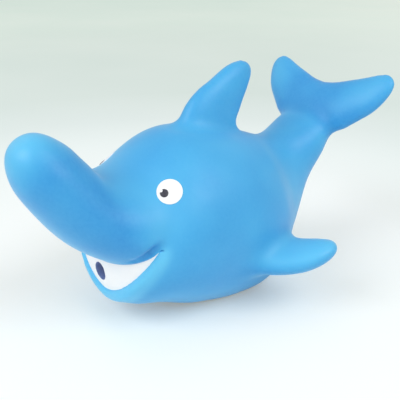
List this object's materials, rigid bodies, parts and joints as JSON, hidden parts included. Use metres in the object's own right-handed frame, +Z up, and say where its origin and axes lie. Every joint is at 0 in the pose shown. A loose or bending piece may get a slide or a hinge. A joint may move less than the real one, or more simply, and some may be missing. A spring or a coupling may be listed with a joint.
{
  "type": "squeaky bath toy",
  "caption": "Hollow soft bath toy shaped as a smiling dolphin, with a squirt hole in its mouth, a push-in squeaker in its belly and a flat rest underneath.",
  "frame": {"origin": "centre of the flat rest under the belly, on the axis of the squeaker", "axes": "+Z up from the rest, +Y from the snout to the tail, +X toward the toy's own left side; the toy is the same on both sides of X = 0"},
  "size_m": [0.0798, 0.1171, 0.069],
  "materials": {
    "blue_vinyl": "soft satin vinyl, moulded in sky blue",
    "white_paint": "thin satin paint on the vinyl",
    "dark_paint": "thin satin paint over the eye's white",
    "cream_plastic": "plain moulded, slightly milky",
    "reed_film": "smooth amber film"
  },
  "bodies": {
    "toy": {"body_skin": "blue_vinyl", "mouth_paint": "white_paint", "left_eye_white": "white_paint", "right_eye_white": "white_paint", "left_pupil": "dark_paint", "right_pupil": "dark_paint", "squeaker_cup": "cream_plastic", "squeaker_cap": "cream_plastic", "reed_block": "cream_plastic", "reed_clamp": "cream_plastic"},
    "reed": {"reed": "reed_film"}
  },
  "joints": [
    {"name": "reed_flutter", "type": "hinge", "parent": "toy", "child": "reed", "pos_m": [0, 0, 0.005], "axis": [-1, 0, 0], "range_deg": [0, 5], "stiffness_Nm_per_rad": 0.02}
  ]
}
